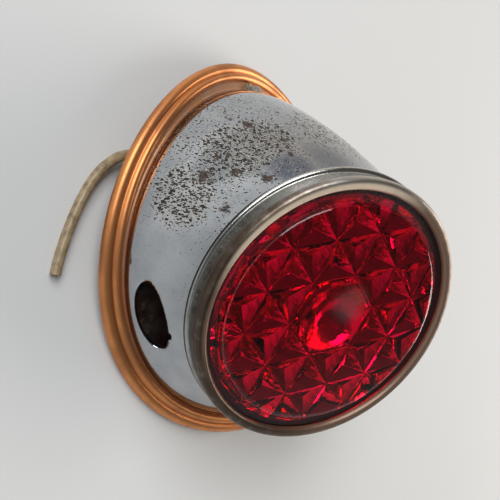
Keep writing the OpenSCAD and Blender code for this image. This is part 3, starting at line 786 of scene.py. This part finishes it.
# Lens
# One clear red moulding, held in the bezel. Its front is smooth, with a raised middle inside a plain
# border, and its back is a field of three-sided pyramids round a bull's eye.
lens_r = 38.6 * mm
raised_r = 33.6 * mm
lens_front = -0.75 * mm
lens_back = -2.6 * mm
lens_edge = 0.3 * mm
lens_raise = 1.6 * mm
lens_crown = 0.95 * mm
crown_points = 32
prism_side = 13.3 * mm
prism_slope = 0.72
prism_web = 0.3 * mm
prism_round = 0.22 * mm
prism_field = 35.8 * mm
prism_rows = 4
prism_columns = 6
eye_r = 10.8 * mm
eye_depth = 3.2 * mm
eye_points = 24
eye_overlap = 0.05 * mm
lap = 0.2 * mm
lens_steps = 192
drum_steps = 181
drum_depth = 40 * mm
sharp_edge = math.radians(25)

crown_line = []
for i in range(crown_points + 1):
    r = (raised_r - 0.9 * mm) * i / crown_points
    crown_line.append((r, lens_front + lens_raise + lens_crown * (1 - (r / raised_r) ** 2)))
edge_line = [
    (raised_r - 0.45 * mm, lens_front + 0.93 * lens_raise),
    (raised_r - 0.15 * mm, lens_front + 0.72 * lens_raise),
    (raised_r + 0.05 * mm, lens_front + 0.3 * lens_raise),
    (raised_r + lens_edge, lens_front), (lens_r - lens_edge, lens_front),
    (lens_r, lens_front - lens_edge), (lens_r, lens_back + lens_edge), (lens_r - lens_edge, lens_back),
]
blank = spun(crown_line + edge_line + [(0, lens_back)], lens_steps, closed=False)

cell = bmesh.new()
corner = prism_side / math.sqrt(3)
peak = prism_web + prism_slope * corner / 2
bmesh.ops.create_circle(cell, cap_ends=True, segments=3, radius=corner)
bmesh.ops.poke(cell, faces=cell.faces[:])
for v in cell.verts:
    v.co.z = lens_back - (prism_web if v.co.length > corner / 2 else peak)
cell_mesh = bpy.data.meshes.new("prism")
cell.to_mesh(cell_mesh)
cell.free()
first_turn = math.pi / 2
line_gap = prism_side * math.sqrt(3) / 2
prisms = bmesh.new()
for i in range(-prism_rows, prism_rows):
    for j in range(-prism_columns, prism_columns):
        node_at = Vector((line_gap * i, prism_side * (j + i / 2), 0))
        sides = (((corner / 2, prism_side / 2, 0), -first_turn), ((corner, 0, 0), first_turn))
        for middle, turn in sides:
            placed = cell_mesh.copy()
            placed.transform(Matrix.Translation(node_at + Vector(middle)) @ Matrix.Rotation(turn, 4, "Z"))
            prisms.from_mesh(placed)
            bpy.data.meshes.remove(placed)
bmesh.ops.remove_doubles(prisms, verts=prisms.verts, dist=0.02 * mm)
ridges = [e for e in prisms.edges if not e.is_boundary]
bmesh.ops.bevel(
    prisms, geom=ridges, offset=prism_round, segments=2, profile=0.5, affect="EDGES", material=-1
)
rim_edges = [e for e in prisms.edges if e.is_boundary]
raised = bmesh.ops.extrude_edge_only(prisms, edges=rim_edges)["geom"]
for v in [v for v in raised if isinstance(v, bmesh.types.BMVert)]:
    v.co.z = lens_back + lap
bmesh.ops.holes_fill(prisms, edges=[e for e in prisms.edges if e.is_boundary], sides=0)
bmesh.ops.recalc_face_normals(prisms, faces=prisms.faces)

red = Finish("moulded_red_lens")
red_dust = red.noise(5 * mm, 5, 0.65)
red_scuff = red.noise(0.6 * mm, 4, 0.7, shift=3)
border_film = red.away(head_at).rise(raised_r - 0.5 * mm, raised_r + 0.5 * mm)
# The pinkish band on the border's near side is a dust film with a painted reflection of the pale
# surroundings in it.
border_dust_and_reflection = border_film * red.along((-0.5, -0.85, 0), head_at).rise(-10 * mm, 25 * mm)
# A brownish film on the bull's eye: dust, with a painted reflection of what is seen in the eye.
film_at = head_at + head.to_3x3() @ Vector((-5.5, -1.8, 0)) * mm
eye_film_and_reflection = red.near(film_at, 5.5 * mm, 0.9) * red_dust.rise(0.25, 0.5)
pure_red = red.mix(red_dust, (0.95, 0.0, 0.12), (0.98, 0.0, 0.15))
border_tinted = red.mix(border_dust_and_reflection * 0.8, pure_red, (1.0, 0.2, 0.26))
worn_gloss = (red_dust * 0.6 + red_scuff * 0.4).rise(0.42, 0.75, 0.01, 0.08)
red.surface(
    Base_Color=red.mix(eye_film_and_reflection * 0.9, border_tinted, (0.15, 0.08, 0.06)),
    Roughness=worn_gloss + eye_film_and_reflection * 0.3 + border_dust_and_reflection * 0.25,
    Coat_Weight=(border_film * 0.6).at_least(eye_film_and_reflection),
    Coat_Roughness=0.45,
    Transmission_Weight=1.0,
    IOR=1.49,
)

glint = Finish("red_prism_faces")
glint_wave = glint.noise(3 * mm, 3, 0.5, shift=2)
glint.surface(
    Base_Color=glint.mix(glint_wave, (0.95, 0.0, 0.16), (1.0, 0.0, 0.26)),
    Metallic=0.85,
    Roughness=glint_wave.rise(0.3, 0.7, 0.04, 0.16),
    Transmission_Weight=1.0,
    IOR=1.49,
    Normal=glint.bump(glint_wave, 0.2 * mm),
)


def sharpen(piece):
    """Smooth shading that keeps the steep edges sharp."""
    bm = bmesh.new()
    bm.from_mesh(piece.data)
    for f in bm.faces:
        f.smooth = True
    for e in bm.edges:
        e.smooth = e.is_manifold and e.calc_face_angle() < sharp_edge
    bm.to_mesh(piece.data)
    bm.free()


def drum(name, r):
    """A round tool that reaches past both sides of the lens."""
    bm = bmesh.new()
    bmesh.ops.create_cone(bm, cap_ends=True, segments=drum_steps, radius1=r, radius2=r, depth=drum_depth)
    return bare_object(name, bm)


def cut(piece, other, kind):
    """Joins a tool to a piece, or cuts the piece with it, and removes the tool."""
    modify(piece, "BOOLEAN", object=other, operation=kind, solver="EXACT")
    bpy.data.objects.remove(other)


field = bare_object("prism_field", prisms)
cut(field, drum("field_edge", prism_field), "INTERSECT")
cut(field, drum("eye_edge", eye_r), "DIFFERENCE")

ball_r = (eye_r**2 + eye_depth**2) / (2 * eye_depth)
eye_back = lens_back - prism_web
ball_line = [(0, eye_back - eye_depth)]
for i in range(1, eye_points + 1):
    r = eye_r * i / eye_points
    ball_line.append((r, eye_back + (ball_r - eye_depth) - math.sqrt(ball_r**2 - r**2)))
eye_side = eye_r + eye_overlap
ball_line += [(eye_side, eye_back), (eye_side, lens_back + lap), (0, lens_back + lap)]
eye = bare_object("bulls_eye", spun(ball_line, lens_steps, closed=False))

lens = add_piece("lens_moulding", blank, red.material, "bezel", "lens_red", "lens")
cut(lens, field, "UNION")
cut(lens, eye, "UNION")
lens.data.materials.append(glint.material)
for face in lens.data.polygons:
    if face.center.z < lens_back - prism_web / 3:
        face.material_index = 1
sharpen(lens)
lens.data.transform(head)

# Lens seat
# A black rubber ring lies behind the lens's border, and an open ring of spring wire round it, sprung
# into the bezel, keeps the lens against the bezel's lip.
finish_node(rubber.material, "lens_gasket")
finish_node(spring_steel.material, "retaining_ring")

# Floor and light
# Plain pale paper lies under the part. A broad cool lamp stands on the camera's side and a smaller
# warm one opposite, in a room that is bright at the horizon and dim above.
floor_half = 0.7
floor_gap = 0.05 * mm
floor_bm = bmesh.new()
bmesh.ops.create_grid(floor_bm, x_segments=1, y_segments=1, size=floor_half)
floor = bare_object("floor", floor_bm)
floor.location.z = -floor_gap
paper = Finish("pale_paper")
floor.data.materials.append(paper.surface(Base_Color=(0.8, 0.8, 0.795), Roughness=0.9))


def add_light(name, at, aim, size, power, colour):
    lamp = bpy.data.lights.new(name, "AREA")
    lamp.shape = "RECTANGLE"
    lamp.size, lamp.size_y = size
    lamp.energy = power
    lamp.color = colour
    thing = bpy.data.objects.new(name, lamp)
    thing.location = at
    thing.rotation_euler = (Vector(aim) - Vector(at)).to_track_quat("-Z", "Y").to_euler()
    bpy.context.scene.collection.objects.link(thing)


add_light(
    "window_side", at=(0.0, -0.8, 0.75), aim=(0, 0, 0), size=(1.0, 0.55), power=9, colour=(0.97, 0.99, 1.0)
)
add_light(
    "warm_side", at=(-0.5, 0.75, 0.5), aim=(0, 0, 0.03), size=(0.8, 0.5), power=6, colour=(1.0, 0.94, 0.87)
)

room = bpy.data.worlds.new("room")
bpy.context.scene.world = room
walls = Finish("room", room)
height_seen = walls.along((0, 0, 1))
warm_share = walls.along((-1, 0.4, 0)).rise(-0.4, 0.8)
walls.surface(
    Color=walls.mix(warm_share, (0.9, 0.96, 1.0), (1.0, 0.93, 0.86)),
    Strength=height_seen.rise(0.2, 0.7, 0.68, 0.08),
)
bpy.context.scene.view_settings.view_transform = "Standard"
